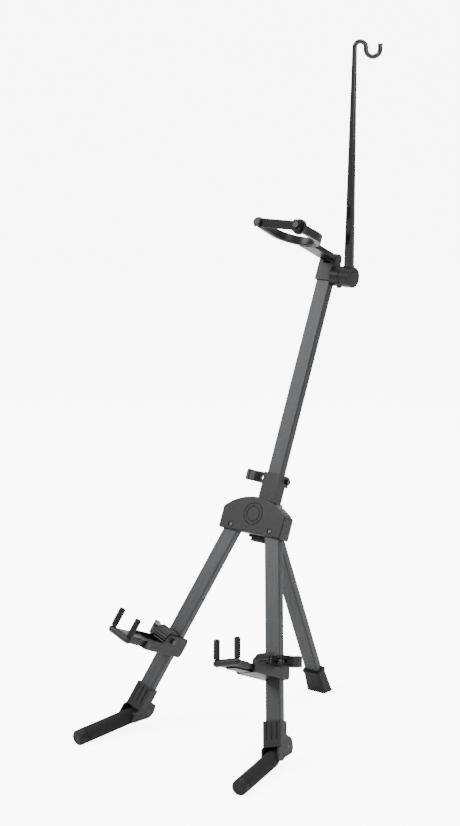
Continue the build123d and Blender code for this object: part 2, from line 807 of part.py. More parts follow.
with BuildPart() as neck_cradle:
    with BuildSketch(cross_plane(hub_frame, cradle_bottom)):
        with Locations((0, -cradle_forward)):
            Circle(cradle_outer)
            Rectangle(
                2 * cradle_outer,
                cradle_outer,
                align=(Align.CENTER, Align.MAX),
                mode=Mode.SUBTRACT,
            )
        add(between_horns(cradle_outer, horn_reach))
        with Locations((0, -cradle_forward)):
            Circle(cradle_inner, mode=Mode.SUBTRACT)
        add(between_horns(cradle_inner, horn_reach), mode=Mode.SUBTRACT)
    extrude(amount=cradle_height)
    with BuildSketch(cross_plane(hub_frame, cradle_arm_bottom)):
        with Locations((0, mast_middle - tilt_radius - tilt_gap)):
            Rectangle(
                cradle_width,
                cradle_forward + mast_middle - cradle_outer - tilt_radius - tilt_gap + 2,
                align=(Align.CENTER, Align.MAX),
            )
    extrude(amount=cradle_arm_thickness)
    with BuildSketch(side_plane(hub_frame, tongue_half)):
        with Locations((-mast_middle, tilt_up)):
            Circle(tilt_radius - 0.5)
        with Locations((-mast_middle, cradle_arm_bottom)):
            Rectangle(2 * tilt_radius, cradle_arm_thickness, align=(Align.MIN, Align.MIN))
    extrude(amount=2 * tongue_half)
    with BuildSketch(side_plane(hub_frame, tongue_half)):
        with Locations((-mast_middle, tilt_up)):
            Circle(tilt_pin_radius + running)
    extrude(amount=2 * tongue_half, mode=Mode.SUBTRACT)
neck_cradle.part.label = "neck_cradle"
export_step(neck_cradle.part, "parts/neck_cradle.step")

with BuildPart() as cradle_pad:
    with BuildSketch(cross_plane(hub_frame, cradle_bottom + pad_margin)):
        with Locations((0, -cradle_forward)):
            Circle(cradle_inner)
        add(between_horns(cradle_inner, horn_reach))
        with Locations((0, -cradle_forward)):
            Circle(cradle_inner - pad_thickness, mode=Mode.SUBTRACT)
        add(between_horns(cradle_inner - pad_thickness, horn_reach), mode=Mode.SUBTRACT)
    extrude(amount=cradle_height - 2 * pad_margin)
cradle_pad.part.label = "cradle_pad"
export_step(cradle_pad.part, "parts/cradle_pad.step")

horn_height = cradle_bottom + cradle_height / 2
strap_back = horn_reach + anchor_thickness + strap_gap
strap_front = strap_back + strap_thickness
with BuildPart() as strap_anchor:
    with BuildSketch(hub_frame.offset(horn_reach)):
        with Locations((horn_middle, horn_height)):
            Circle(anchor_radius)
    extrude(amount=anchor_thickness)
    fillet(strap_anchor.edges(), 0.8)
    with BuildSketch(hub_frame.offset(horn_reach)):
        with Locations((horn_middle, horn_height)):
            Circle(peg_neck)
    extrude(amount=strap_front + buckle_thickness + strap_gap - horn_reach)
    with BuildSketch(hub_frame.offset(strap_front + buckle_thickness + strap_gap)):
        with Locations((horn_middle, horn_height)):
            Circle(peg_neck + 1.4)
    extrude(amount=1.4)
strap_anchor.part.label = "strap_anchor"
export_step(strap_anchor.part, "parts/strap_anchor.step")

with BuildPart() as strap_peg:
    with BuildSketch(hub_frame.offset(horn_reach)):
        with Locations((-horn_middle, horn_height)):
            Circle(peg_head)
    extrude(amount=anchor_thickness)
    with BuildSketch(hub_frame.offset(horn_reach)):
        with Locations((-horn_middle, horn_height)):
            Circle(peg_neck)
    extrude(amount=strap_front + strap_gap - horn_reach)
    with BuildSketch(hub_frame.offset(strap_front + strap_gap)):
        with Locations((-horn_middle, horn_height)):
            Circle(peg_head)
    extrude(amount=peg_head_length)
    fillet(strap_peg.faces().sort_by(hub_forward)[-1].edges(), 1.2)
strap_peg.part.label = "strap_peg"
export_step(strap_peg.part, "parts/strap_peg.step")

with BuildPart() as neck_strap:
    with BuildSketch(hub_frame.offset(strap_back)):
        with Locations((0, horn_height)):
            Rectangle(2 * horn_middle, strap_height)
        with Locations((-horn_middle, horn_height), (horn_middle, horn_height)):
            Circle(strap_end)
        with Locations((horn_middle, horn_height)):
            Circle(peg_neck + running, mode=Mode.SUBTRACT)
        with Locations((-horn_middle, horn_height)):
            Circle(peg_slot, mode=Mode.SUBTRACT)
            Rectangle(2 * peg_slot, 2 * strap_end, align=(Align.CENTER, Align.MAX), mode=Mode.SUBTRACT)
    extrude(amount=strap_thickness)
neck_strap.part.label = "neck_strap"
export_step(neck_strap.part, "parts/neck_strap.step")

with BuildPart() as strap_buckle:
    with BuildSketch(hub_frame.offset(strap_front)):
        with Locations((horn_middle, horn_height)):
            RectangleRounded(buckle_width, strap_height + 3, 1.5)
            Circle(peg_neck + 3 * running, mode=Mode.SUBTRACT)
    extrude(amount=buckle_thickness)
strap_buckle.part.label = "strap_buckle"
export_step(strap_buckle.part, "parts/strap_buckle.step")

# ---------------------------------------------------------------- rear leg
with BuildPart() as rear_leg_head:
    with BuildSketch(side_plane(rear_frame, tube_width / 2)):
        Circle(tube_depth / 2)
        Rectangle(rear_neck, tube_depth, align=(Align.MIN, Align.CENTER))
    extrude(amount=tube_width)
    with BuildSketch(rear_frame.offset(rear_neck)):
        add(tube_bore())
    extrude(amount=rear_plug)
    with BuildSketch(side_plane(rear_frame, tube_width / 2)):
        Circle(rear_pin_radius + running)
    extrude(amount=tube_width, mode=Mode.SUBTRACT)
rear_leg_head.part.label = "rear_leg_head"
export_step(rear_leg_head.part, "parts/rear_leg_head.step")

with BuildPart() as rear_leg_tube:
    with BuildSketch(rear_frame.offset(rear_neck)):
        add(tube_outline())
        add(tube_bore(), mode=Mode.SUBTRACT)
    extrude(amount=rear_length - rear_neck - boot_floor)
rear_leg_tube.part.label = "rear_leg_tube"
export_step(rear_leg_tube.part, "parts/rear_leg_tube.step")

with BuildPart() as rear_boot:
    boot_top = rear_length - boot_length - 4
    with BuildSketch(rear_frame.offset(boot_top)):
        RectangleRounded(tube_width + 2 * boot_wall_top, tube_depth + 2 * boot_wall_top, 3)
    with BuildSketch(rear_frame.offset(rear_length + boot_floor)):
        RectangleRounded(tube_width + 2 * boot_wall_bottom, tube_depth + 2 * boot_wall_bottom, 4)
    loft()
    with BuildSketch(rear_frame.offset(boot_top)):
        RectangleRounded(
            tube_width + 2 * (boot_wall_top + boot_lip), tube_depth + 2 * (boot_wall_top + boot_lip), 3
        )
    extrude(amount=boot_lip_height)
    with BuildSketch(rear_frame.offset(boot_top)):
        add(tube_outline())
    extrude(amount=rear_length - boot_floor - boot_top, mode=Mode.SUBTRACT)
    split(bisect_by=Plane.XY, keep=Keep.TOP)
rear_boot.part.label = "rear_boot"
export_step(rear_boot.part, "parts/rear_boot.step")

# ---------------------------------------------------------------- front legs, arms and feet
for side_name, side in sides.items():
    frame = leg_frame_of(side)
    foot = foot_plane_of(frame)

    with BuildPart() as leg_tube:
        with BuildSketch(cross_plane(frame, leg_above_pivot)):
            with Locations((0, tube_depth / 2)):
                add(tube_outline())
                add(tube_bore(), mode=Mode.SUBTRACT)
        extrude(amount=-(leg_above_pivot + leg_length))
        with BuildSketch(frame):
            Circle(rivet_radius + running)
        extrude(amount=-tube_depth, mode=Mode.SUBTRACT)
        with BuildSketch(side_plane(frame, tube_width / 2)):
            for down in detent_holes:
                with Locations((-tube_depth / 2, -down)):
                    Circle(detent_radius)
        extrude(amount=tube_width, mode=Mode.SUBTRACT)
    leg_tube.part.label = f"{side_name}_leg_tube"
    export_step(leg_tube.part, f"parts/{side_name}_leg_tube.step")

    socket_half = tube_width / 2 + socket_wall
    with BuildPart() as foot_socket:
        with BuildSketch(side_plane(frame, socket_half)) as profile:
            with BuildLine():
                Polyline(
                    (socket_wall, -socket_top),
                    (-tube_depth - 1.2, -socket_top),
                    (-tube_depth - 1.2, -socket_top - 15),
                    (-foot_pivot_back - socket_back + 3, -socket_top - 18),
                    (-foot_pivot_back - socket_back, -foot_pivot_down),
                    (-foot_pivot_back - socket_back + 3, -foot_pivot_down - 7),
                    (6, -foot_pivot_down - 19),
                    (6, -foot_pivot_down - 4),
                    (socket_wall, -foot_pivot_down - 2),
                    (socket_wall, -socket_top),
                )
            make_face()
            fillet(profile.vertices().sort_by(Axis.X)[:3], 4.0)
        extrude(amount=2 * socket_half)
        # room for the foot between the cheeks, and for the leg
        with BuildSketch(side_plane(frame, socket_half - cheek_thickness)):
            with BuildLine():
                Polyline(
                    (-foot_pivot_back - socket_back - 5, -socket_top - socket_collar),
                    (-tube_depth - 1.2, -socket_top - socket_collar + 6),
                    (-tube_depth, -socket_top - socket_collar),
                    (0, -socket_top - socket_collar),
                    (0, -foot_pivot_down - 2),
                    (8, -foot_pivot_down - 2),
                    (8, -foot_pivot_down - 22),
                    (-foot_pivot_back - socket_back - 5, -foot_pivot_down - 22),
                    (-foot_pivot_back - socket_back - 5, -socket_top - socket_collar),
                )
            make_face()
        extrude(amount=2 * (socket_half - cheek_thickness), mode=Mode.SUBTRACT)
        with BuildSketch(cross_plane(frame, -socket_top)):
            with Locations((0, tube_depth / 2)):
                add(tube_outline())
        extrude(amount=-(leg_length - socket_top), mode=Mode.SUBTRACT)
        with BuildSketch(frame.offset(socket_wall)):
            with Locations((0, -socket_top - socket_collar / 2)):
                with GridLocations(groove_pitch, 1, 3, 1):
                    Rectangle(groove_width, socket_collar - 4)
        extrude(amount=-groove_depth, mode=Mode.SUBTRACT)
        with BuildSketch(side_plane(frame, socket_half)):
            with Locations((-foot_pivot_back, -foot_pivot_down)):
                Circle(foot_pin_radius)
        extrude(amount=2 * socket_half, mode=Mode.SUBTRACT)
    foot_socket.part.label = f"{side_name}_foot_socket"
    export_step(foot_socket.part, f"parts/{side_name}_foot_socket.step")

    with BuildPart() as foot_pin:
        with BuildSketch(side_plane(foot, socket_half)):
            Circle(foot_pin_radius)
        extrude(amount=2 * socket_half)
    foot_pin.part.label = f"{side_name}_foot_pin"
    export_step(foot_pin.part, f"parts/{side_name}_foot_pin.step")

    with BuildPart() as foot_core:
        with BuildSketch(side_plane(foot, foot_knuckle_half)):
            with BuildSketch(mode=Mode.PRIVATE) as knuckle:
                Circle(foot_knuckle_radius)
                with Locations((grip_start - 6, -foot_offset)):
                    Circle(foot_core_radius)
                make_hull()
            add(knuckle.sketch)
        extrude(amount=2 * foot_knuckle_half)
        with BuildSketch(foot.offset(grip_start - 6)):
            with Locations((0, -foot_offset)):
                Circle(foot_core_radius)
        extrude(amount=grip_length + 6)
        with BuildSketch(side_plane(foot, foot_knuckle_half)):
            Circle(foot_pin_radius + running)
        extrude(amount=2 * foot_knuckle_half, mode=Mode.SUBTRACT)
    foot_core.part.label = f"{side_name}_foot_core"
    export_step(foot_core.part, f"parts/{side_name}_foot_core.step")

    with BuildPart() as foot_grip:
        with BuildSketch(foot.offset(grip_start)):
            with Locations((0, -foot_offset)):
                Circle(grip_radius)
                Circle(foot_core_radius, mode=Mode.SUBTRACT)
        extrude(amount=grip_length)
    foot_grip.part.label = f"{side_name}_foot_grip"
    export_step(foot_grip.part, f"parts/{side_name}_foot_grip.step")

    with BuildPart() as toe_cap:
        with BuildSketch(foot.offset(grip_start + grip_length)):
            with Locations((0, -foot_offset)):
                Circle(grip_radius)
        extrude(amount=toe_length)
        fillet(toe_cap.faces().sort_by(Axis(foot.origin, foot.z_dir))[-1].edges(), toe_round)
    toe_cap.part.label = f"{side_name}_toe_cap"
    export_step(toe_cap.part, f"parts/{side_name}_toe_cap.step")

    with BuildPart() as arm_bracket:
        with BuildSketch(side_plane(frame, arm_half)) as cheek:
            with Locations(((cheek_front - arm_back) / 2, -(arm_top + arm_bottom) / 2)):
                Rectangle(cheek_front + arm_back, arm_bottom - arm_top)
            with Locations((0, -bar_top)):
                Rectangle(bar_front, arm_bottom - bar_top, align=(Align.MIN, Align.MAX))
            fillet(cheek.vertices().group_by(Axis.Y)[-1], cheek_round)
            fillet(cheek.vertices().group_by(Axis.Y)[0].sort_by(Axis.X)[0], cheek_round)
            fillet(cheek.vertices().group_by(Axis.X)[-1], bar_round)
        extrude(amount=2 * arm_half)
        with BuildSketch(side_plane(frame, arm_inner)):
            with Locations((-tube_depth - free_gap, -arm_top)):
                Rectangle(
                    bar_front + 20, arm_bottom - arm_top - web_thickness, align=(Align.MIN, Align.MAX)
                )
            with Locations((-tube_depth - free_gap, -arm_top)):
                Rectangle(
                    tube_depth + 2 * free_gap, arm_bottom - arm_top, align=(Align.MIN, Align.MAX)
                )
        extrude(amount=2 * arm_inner, mode=Mode.SUBTRACT)
        with BuildSketch(cross_plane(frame, -lip_down)):
            with Locations((0, -bar_front + 4)):
                Rectangle(2 * lip_half, lip_reach - bar_front + 4, align=(Align.CENTER, Align.MAX))
        extrude(amount=-lip_thickness)
        with BuildSketch(side_plane(frame, arm_half)):
            with Locations((arm_bolt_forward, -arm_pivot_down)):
                Circle(clamp_bolt_radius + sliding)
            with Locations((fork_pivot_forward, -fork_pivot_down)):
                Circle(fork_pin_radius)
        extrude(amount=2 * arm_half, mode=Mode.SUBTRACT)
    arm_bracket.part.label = f"{side_name}_arm_bracket"
    export_step(arm_bracket.part, f"parts/{side_name}_arm_bracket.step")

    with BuildPart() as arm_roller:
        with BuildSketch(side_plane(frame, arm_inner)):
            with Locations((arm_bolt_forward, -arm_pivot_down)):
                Circle(spacer_radius)
                with PolarLocations(spacer_radius, spacer_ribs):
                    Rectangle(2 * spacer_rib, spacer_rib)
                Circle(clamp_bolt_radius, mode=Mode.SUBTRACT)
        extrude(amount=2 * arm_inner)
    arm_roller.part.label = f"{side_name}_arm_roller"
    export_step(arm_roller.part, f"parts/{side_name}_arm_roller.step")

    with BuildPart() as fork_pin:
        with BuildSketch(side_plane(frame, arm_half)):
            with Locations((fork_pivot_forward, -fork_pivot_down)):
                Circle(fork_pin_radius)
        extrude(amount=2 * arm_half)
    fork_pin.part.label = f"{side_name}_fork_pin"
    export_step(fork_pin.part, f"parts/{side_name}_fork_pin.step")

    knuckle_half = arm_inner - free_gap
    fork_place = (fork_pivot_forward, -fork_pivot_down)
    with BuildPart() as fork:
        with BuildSketch(side_plane(frame, knuckle_half)):
            with Locations(fork_place):
                Circle(fork_knuckle_radius)
                Rectangle(
                    fork_shoulder - fork_pivot_forward,
                    fork_height - 2,
                    align=(Align.MIN, Align.CENTER),
                )
        extrude(amount=2 * knuckle_half)
        with BuildSketch(frame.offset(fork_shoulder)):
            with Locations((0, -fork_pivot_down)):
                RectangleRounded(2 * fork_half, fork_height, 2.0)
        extrude(amount=fork_bar_forward - fork_shoulder)
        with BuildSketch(side_plane(frame, prong_half)):
            with Locations((fork_bar_forward, -fork_pivot_down)):
                Circle(fork_bar_radius)
        extrude(amount=2 * prong_half)
        prong_places = [(-prong_half, -fork_bar_forward), (prong_half, -fork_bar_forward)]
        with Locations(*[cross_plane(frame, -fork_pivot_down).location * Location((x, y, 0))
                         for x, y in prong_places]):
            Sphere(fork_bar_radius)
        with BuildSketch(cross_plane(frame, -fork_pivot_down)):
            with Locations(*prong_places):
                Circle(prong_core_radius)
        extrude(amount=fork_pivot_down - prong_top - 2)
        with BuildSketch(side_plane(frame, knuckle_half)):
            with Locations(fork_place):
                Circle(fork_pin_radius + running)
        extrude(amount=2 * knuckle_half, mode=Mode.SUBTRACT)
    fork.part.label = f"{side_name}_fork"
    export_step(fork.part, f"parts/{side_name}_fork.step")

    with BuildPart() as prong_sleeves:
        with BuildSketch(cross_plane(frame, -prong_top)):
            with Locations(*prong_places):
                Circle(prong_sleeve_radius)
        extrude(amount=-(fork_pivot_down - fork_bar_radius - prong_top - 0.2))
        top_rims = prong_sleeves.edges().group_by(Axis(frame.origin, frame.y_dir))[-1]
        fillet(top_rims, 2.0)
        with BuildSketch(cross_plane(frame, -prong_top - 2)):
            with Locations(*prong_places):
                Circle(prong_core_radius)
        extrude(amount=-(fork_pivot_down - prong_top), mode=Mode.SUBTRACT)
    prong_sleeves.part.label = f"{side_name}_prong_sleeves"
    export_step(prong_sleeves.part, f"parts/{side_name}_prong_sleeves.step")
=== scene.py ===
"""The looks of the folding violin stand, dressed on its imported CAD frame, in metres."""

import math

import bpy
from mathutils import Matrix, Vector
from mathutils.geometry import convex_hull_2d


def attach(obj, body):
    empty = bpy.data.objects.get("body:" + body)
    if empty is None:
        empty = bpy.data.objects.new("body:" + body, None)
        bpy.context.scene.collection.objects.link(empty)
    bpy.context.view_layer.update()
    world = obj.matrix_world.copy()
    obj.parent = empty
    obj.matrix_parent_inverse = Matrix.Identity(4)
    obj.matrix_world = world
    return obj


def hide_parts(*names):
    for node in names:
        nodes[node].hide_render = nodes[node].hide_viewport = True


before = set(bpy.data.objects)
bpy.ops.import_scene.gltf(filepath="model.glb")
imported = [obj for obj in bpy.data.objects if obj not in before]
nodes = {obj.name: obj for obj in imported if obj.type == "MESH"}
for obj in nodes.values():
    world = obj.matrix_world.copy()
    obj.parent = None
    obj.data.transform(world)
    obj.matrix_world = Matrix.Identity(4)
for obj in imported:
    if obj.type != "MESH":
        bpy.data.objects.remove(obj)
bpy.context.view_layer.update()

# the pieces are sized in millimetres; finishes, lights and the camera are in metres
MM = 0.001
SIDES = {"left": -1, "right": 1}

# attitude of the stand, as in the CAD
LEAN = math.radians(24.0)
SPLAY = math.radians(17.4)
REAR_ANGLE = math.radians(23.8)
HUB = Vector((0, 7.5, 243.78)) * MM
RIGHT = Vector((1, 0, 0))
UP_MAST = Vector((0, math.sin(LEAN), math.cos(LEAN)))
FORWARD = Vector((0, -math.cos(LEAN), math.sin(LEAN)))
LEG_PIVOT = 28.4 * MM


# ---------------------------------------------------------------- frames
def axes_matrix(x, y, z, origin=Vector()):
    """The matrix whose columns are three axes and an origin."""
    rotation = Matrix((x, y, z)).transposed()
    return Matrix.Translation(origin) @ rotation.to_4x4()


def leg_matrix(side):
    """The leg's frame on one side: x across the leg, y up it and z forward, at its pivot."""
    across = math.cos(SPLAY) * RIGHT + side * math.sin(SPLAY) * UP_MAST
    up = FORWARD.cross(across)
    return axes_matrix(across, up, FORWARD, HUB + side * LEG_PIVOT * RIGHT)


HUB_MATRIX = axes_matrix(RIGHT, UP_MAST, FORWARD, HUB)
REAR_MATRIX = axes_matrix(
    RIGHT,
    Vector((0, -math.sin(REAR_ANGLE), math.cos(REAR_ANGLE))),
    Vector((0, -math.cos(REAR_ANGLE), -math.sin(REAR_ANGLE))),
)


def shift(x, y, z):
    return Matrix.Translation((x * MM, y * MM, z * MM))


def turn(degrees, axis):
    return Matrix.Rotation(math.radians(degrees), 4, axis)


# turns a frame's z axis onto its x axis
ALONG_X = turn(90, "Y")


# ---------------------------------------------------------------- materials
class Finish:
    """A procedural material built around one Principled shader."""

    def __init__(self, name, metallic=0.0, specular=0.5):
        self.material = bpy.data.materials.new(name)
        self.material.use_nodes = True
        self.tree = self.material.node_tree
        self.shader = self.tree.nodes["Principled BSDF"]
        self.shader.inputs["Metallic"].default_value = metallic
        self.shader.inputs["Specular IOR Level"].default_value = specular
        self.place = self.tree.nodes.new("ShaderNodeTexCoord").outputs["Object"]

    def link(self, output, node, socket):
        self.tree.links.new(output, node.inputs[socket])

    def stretched(self, matrix, along):
        """Coordinates stretched along the frame's y axis, for drawing lines."""
        mapping = self.tree.nodes.new("ShaderNodeMapping")
        mapping.vector_type = "TEXTURE"
        mapping.inputs["Rotation"].default_value = matrix.to_euler()
        mapping.inputs["Scale"].default_value = (1, along, 1)
        self.link(self.place, mapping, "Vector")
        return mapping.outputs["Vector"]

    def noise(self, scale, detail=3.0, place=None):
        """Noise over the object's own coordinates, or over the ones given."""
        node = self.tree.nodes.new("ShaderNodeTexNoise")
        node.inputs["Scale"].default_value = scale
        node.inputs["Detail"].default_value = detail
        self.link(place or self.place, node, "Vector")
        return node.outputs["Fac"]

    def tone(self, source, low, high):
        """Base colour between two tones."""
        ramp = self.tree.nodes.new("ShaderNodeValToRGB")
        ramp.color_ramp.elements[0].position = 0.3
        ramp.color_ramp.elements[1].position = 0.7
        ramp.color_ramp.elements[0].color = (*low, 1)
        ramp.color_ramp.elements[1].color = (*high, 1)
        self.link(source, ramp, "Fac")
        self.link(ramp.outputs["Color"], self.shader, "Base Color")

    def roughness(self, source, low, high):
        """Roughness between two values."""
        spread = self.tree.nodes.new("ShaderNodeMapRange")
        spread.inputs["To Min"].default_value = low
        spread.inputs["To Max"].default_value = high
        self.link(source, spread, "Value")
        self.link(spread.outputs["Result"], self.shader, "Roughness")

    def relief(self, source, strength, distance, edge_radius=0.0004):
        """Surface relief over edges that are softened by a small radius."""
        bevel = self.tree.nodes.new("ShaderNodeBevel")
        bevel.inputs["Radius"].default_value = edge_radius
        bump = self.tree.nodes.new("ShaderNodeBump")
        bump.inputs["Strength"].default_value = strength
        bump.inputs["Distance"].default_value = distance
        self.link(source, bump, "Height")
        self.link(bevel.outputs["Normal"], bump, "Normal")
        self.link(bump.outputs["Normal"], self.shader, "Normal")


def grey(value, warm=0.0):
    """A grey, warmer or, where warm is negative, cooler."""
    return (value * (1 + warm), value, value * (1 - warm))


def moulded(name, low, high, rough, grain=900.0, strength=0.25, specular=0.14, edge=0.0007):
    """Moulded plastic with a fine spark-eroded grain and faint clouding."""
    finish = Finish(name, specular=specular)
    cloud = finish.noise(38.0)
    finish.tone(cloud, grey(low), grey(high))
    finish.roughness(cloud, *rough)
    finish.relief(finish.noise(grain, 2.0), strength, 0.0002, edge)
    return finish.material


def brushed(name, matrix, low, high, rough=(0.34, 0.46), metallic=0.6):
    """Satin anodised tube, drawn lengthwise."""
    finish = Finish(name, metallic=metallic, specular=0.25)
    lines = finish.noise(1500.0, 4.0, finish.stretched(matrix, 60.0))
    finish.tone(lines, grey(low, -0.04), grey(high, -0.04))
    finish.roughness(lines, *rough)
    finish.relief(lines, 0.12, 0.00008, 0.0008)
    return finish.material


def foam(name, low, high, grain=1400.0, rough=(0.75, 0.9), strength=0.5):
    """Closed-cell foam or rubber."""
    finish = Finish(name, specular=0.1)
    cells = finish.noise(grain, 3.0)
    finish.tone(cells, grey(low), grey(high))
    finish.roughness(cells, *rough)
    finish.relief(cells, strength, 0.0003)
    return finish.material


PLASTIC = moulded("charcoal_plastic", 0.003, 0.0055, (0.34, 0.48), specular=0.14)
WING = moulded("lever_wing", 0.004, 0.007, (0.3, 0.4), strength=0.1, specular=0.25)
BLACK = moulded("black_plastic", 0.002, 0.003, (0.3, 0.42), strength=0.15)
GLOSS = moulded("gloss_black", 0.001, 0.002, (0.1, 0.16), 120.0, 0.0, 0.45, edge=0.0002)
PAD = moulded("soft_pad", 0.002, 0.004, (0.32, 0.42), 300.0, 0.06, 0.2)
FOAM = foam("foam_rubber", 0.003, 0.009)
STRAP = foam("strap_rubber", 0.002, 0.004, grain=500.0, rough=(0.6, 0.7), strength=0.1)
RUBBER = foam("boot_rubber", 0.004, 0.007, grain=700.0, rough=(0.5, 0.62), strength=0.2)
STEEL = brushed("blackened_steel", HUB_MATRIX, 0.02, 0.04, (0.22, 0.34), 1.0)
MAST_TUBE = brushed("mast_anodised", HUB_MATRIX, 0.011, 0.019)
REAR_TUBE = brushed("rear_anodised", REAR_MATRIX, 0.011, 0.018)
LEG_TUBES = {
    "left": brushed("left_leg_anodised", leg_matrix(-1), 0.018, 0.030),
    "right": brushed("right_leg_anodised", leg_matrix(1), 0.018, 0.030),
}

METAL_WORDS = ("rivet", "washer", "screws", "_pin", "bolt", "nut", "axle")


def material_for(node):
    """The finish of a CAD node, from its name."""
    if node == "mast_tube":
        return MAST_TUBE
    if node == "rear_leg_tube":
        return REAR_TUBE
    if node.endswith("leg_tube"):
        return LEG_TUBES[node.split("_")[0]]
    if node.endswith("foot_grip"):
        return FOAM
    if node.endswith(("prong_sleeves", "toe_cap")) or node == "rear_boot":
        return RUBBER
    if node.endswith("arm_roller"):
        return BLACK
    if node == "bow_rod":
        return GLOSS
    if node in ("neck_strap", "strap_buckle"):
        return STRAP
    if node == "cradle_pad":
        return PAD
    if any(word in node for word in METAL_WORDS):
        return STEEL
    return PLASTIC


for node_name, cad in nodes.items():
    cad.data.materials.clear()
    cad.data.materials.append(material_for(node_name))


# ---------------------------------------------------------------- mesh builders
def round_edges(piece, width, segments):
    """Rounds the sharp edges of a piece or of a CAD node."""
    rounding = piece.modifiers.new("rounding", "BEVEL")
    rounding.width = width * MM
    rounding.segments = segments
    rounding.limit_method = "ANGLE"
    return rounding


# the boot's moulded edges are rounder than its plain solid
BOOT_ROUNDING = 1.8
round_edges(nodes["rear_boot"], BOOT_ROUNDING, 4).angle_limit = math.radians(40)


def make_piece(name, points, faces, matrix, material, body, bevel=0.0):
    """A smooth-shaded piece riding on a body; points are in millimetres in the matrix's frame."""
    mesh = bpy.data.meshes.new(name)
    mesh.from_pydata([matrix @ (Vector(point) * MM) for point in points], [], faces)
    mesh.materials.append(material)
    piece = bpy.data.objects.new(name, mesh)
    bpy.context.collection.objects.link(piece)
    if bevel:
        round_edges(piece, bevel, 3)
    mesh.shade_smooth()
    mesh.set_sharp_from_angle(angle=math.radians(38))
    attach(piece, body)
    return piece


def lathe(name, profile, matrix, material, body, segments=48):
    """A piece turned about the frame's z axis from (radius, height) points, closed at both ends."""
    points = []
    for radius, height in profile:
        for step in range(segments):
            angle = 2 * math.pi * step / segments
            points.append((radius * math.cos(angle), radius * math.sin(angle), height))
    faces = []
    for ring in range(len(profile) - 1):
        for step in range(segments):
            after = (step + 1) % segments
            low, high = ring * segments, (ring + 1) * segments
            faces.append((low + step, low + after, high + after, high + step))
    faces.append(tuple(reversed(range(segments))))
    faces.append(tuple(range((len(profile) - 1) * segments, len(profile) * segments)))
    return make_piece(name, points, faces, matrix, material, body)


def prism(name, outline, low, high, matrix, material, body, bevel=0.4):
    """A plate cut to an outline, between two heights of the frame's z axis."""
    count = len(outline)
    points = [(x, y, low) for x, y in outline] + [(x, y, high) for x, y in outline]
    faces = [(i, (i + 1) % count, count + (i + 1) % count, count + i) for i in range(count)]
    faces.append(tuple(reversed(range(count))))
    faces.append(tuple(range(count, 2 * count)))
    return make_piece(name, points, faces, matrix, material, body, bevel)


def round_corner(centre, radius, start, end, steps=8):
    """Points on an arc between two angles in degrees."""
    angles = [math.radians(start + (end - start) * step / steps) for step in range(steps + 1)]
    return [(centre[0] + radius * math.cos(a), centre[1] + radius * math.sin(a)) for a in angles]


def box_outline(left, bottom, right, top):
    return [(left, bottom), (right, bottom), (right, top), (left, top)]


def hull_of_circles(circles, steps=40):
    """Convex outline round several circles given as (x, y, radius)."""
    dots = []
    for x, y, radius in circles:
        dots += round_corner((x, y), radius, 0, 360, steps)[:-1]
    order = convex_hull_2d([Vector(dot) for dot in dots])
    return [dots[index] for index in order]


# ---------------------------------------------------------------- thumb levers
# circles (x along the lever, y, radius) that its outlines are hulled from
LEVER_ROOT = (0.0, 0.0, 4.9)
LEVER_CHIN = (9.6, 0.0, 3.2)
LEVER_WAIST = (12.5, 0.0, 2.7)
LEVER_HALF = 6.5
SLOT_HALF = 2.3
RIB_COUNT = 5
RIB_START = 7.4
RIB_PITCH = 1.9
RIB_THICK = 0.8
RIB_HEIGHT = 4.4
RIB_TAPER = 0.32
RIB_INSET = 0.6


def lever_matrix(base, side, pivot, forward, height, swing):
    """A lever's frame at its pin: x along the lever and z up the tube beside it."""
    across = base @ shift(side * pivot, height, forward) @ turn(-90, "X")
    return across @ turn(90 - side * 90 - side * swing, "Z")


def thumb_lever(name, matrix, kick, body, node):
    """A lever with a ribbed black root and a smooth wing whose tip kicks to one side."""
    neck = (16.0, kick * 1.0, 2.5)
    tip = (22.0, kick * 3.0, 3.9)
    wing = prism(f"{name}_wing", hull_of_circles([neck, tip]), -LEVER_HALF, LEVER_HALF,
                 matrix, WING, body, 1.1)
    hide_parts(node)
    for label, low, high in (("low", -LEVER_HALF, -SLOT_HALF), ("high", SLOT_HALF, LEVER_HALF)):
        prism(f"{name}_cheek_{label}", hull_of_circles([LEVER_ROOT, LEVER_WAIST]), low, high,
              matrix, BLACK, body, 0.5)
    # the chin reaches a little into both cheeks
    chin_half = SLOT_HALF + 0.2
    prism(f"{name}_chin", hull_of_circles([LEVER_CHIN, LEVER_WAIST, neck]), -chin_half, chin_half,
          matrix, BLACK, body, 0.3)
    rib_half = LEVER_HALF - RIB_INSET
    for rib in range(RIB_COUNT):
        centre = RIB_START + RIB_PITCH * rib
        reach = RIB_HEIGHT - RIB_TAPER * rib
        outline = box_outline(centre - RIB_THICK / 2, -reach, centre + RIB_THICK / 2, reach)
        prism(f"{name}_rib_{rib}", outline, -rib_half, rib_half, matrix, BLACK, body, 0.25)


CLAMP_DOWN = 155.0  # arm clamp below the leg pivot
CLAMP_FORWARD = 12.0  # and ahead of the leg

mast_lever_place = lever_matrix(HUB_MATRIX, -1, pivot=17.6, forward=-29.8, height=65.0, swing=17.0)
thumb_lever("mast_thumb", mast_lever_place, 1, "mast_thumb_lever", "mast_lever")
for side_name, side in SIDES.items():
    arm_lever_place = lever_matrix(
        leg_matrix(side), side, pivot=18.6, forward=CLAMP_FORWARD, height=-CLAMP_DOWN, swing=-58.0
    )
    thumb_lever(f"{side_name}_arm_thumb", arm_lever_place, -side,
                f"{side_name}_thumb_lever", f"{side_name}_arm_lever")

